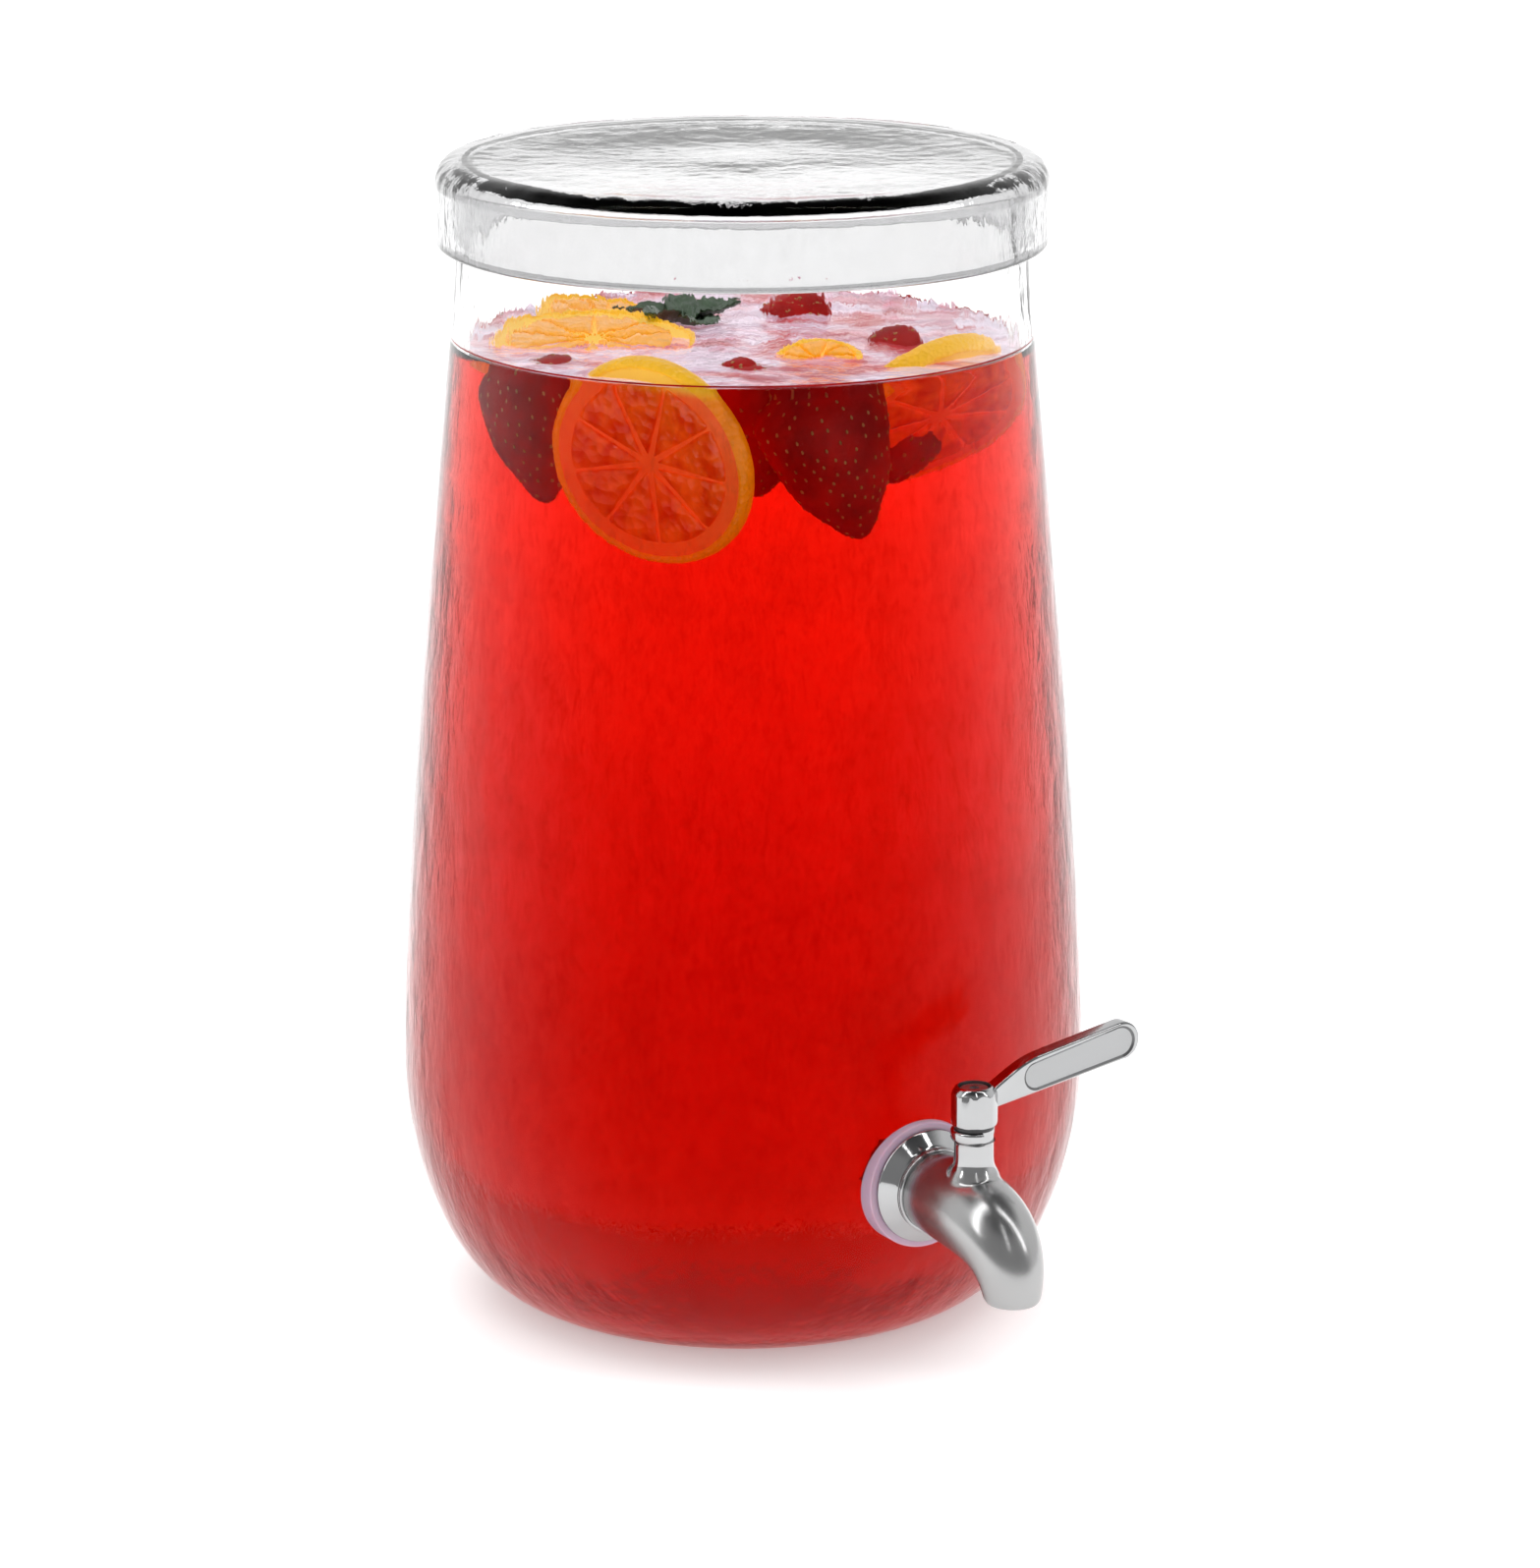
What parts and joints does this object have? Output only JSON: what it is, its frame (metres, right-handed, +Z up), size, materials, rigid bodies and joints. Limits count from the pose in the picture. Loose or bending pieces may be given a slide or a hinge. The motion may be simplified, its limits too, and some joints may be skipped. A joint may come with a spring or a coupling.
{
  "type": "beverage dispenser",
  "caption": "Hammered clear glass drink jar with a lift-off glass lid and a steel quarter-turn ball-valve spigot low on its side.",
  "frame": {"origin": "centre of the jar's foot, on the table", "axes": "+Z up along the jar's axis, spigot points along -Y, closed lever points along +X"},
  "size_m": [0.229, 0.2934, 0.3846],
  "materials": {
    "jar_glass": "clear hammered glass",
    "lid_glass": "clear hammered glass",
    "silicone": "translucent matt",
    "black_rubber": "smooth",
    "polished_steel": "mirror polished",
    "satin_steel": "fine brushed",
    "turned_steel": "as turned",
    "seat_plastic": "white, slightly waxy"
  },
  "bodies": {
    "jar_assembly": {"jar": "jar_glass", "outer_gasket": "silicone", "flange": "polished_steel", "spout_body": "satin_steel", "threaded_shank": "turned_steel", "shank_o_ring": "black_rubber", "inner_gasket": "silicone", "inner_washer": "turned_steel", "lock_nut": "turned_steel", "rear_seat": "seat_plastic", "front_seat": "seat_plastic", "thrust_washer": "seat_plastic"},
    "lid": {"lid": "lid_glass"},
    "valve": {"ball": "polished_steel", "stem": "turned_steel", "lower_stem_o_ring": "black_rubber", "upper_stem_o_ring": "black_rubber", "hub_seal": "black_rubber", "handle": "polished_steel", "screw_washer": "turned_steel", "handle_screw": "turned_steel"}
  },
  "joints": [
    {"name": "lid_lift", "type": "slide", "parent": "jar_assembly", "child": "lid", "axis": [0, 0, 1], "range_m": [0, 0.12]},
    {"name": "lever_turn", "type": "hinge", "parent": "jar_assembly", "child": "valve", "pos_m": [0, -0.146, 0.0665], "axis": [0, 0, 1], "range_deg": [-90, 0]}
  ]
}
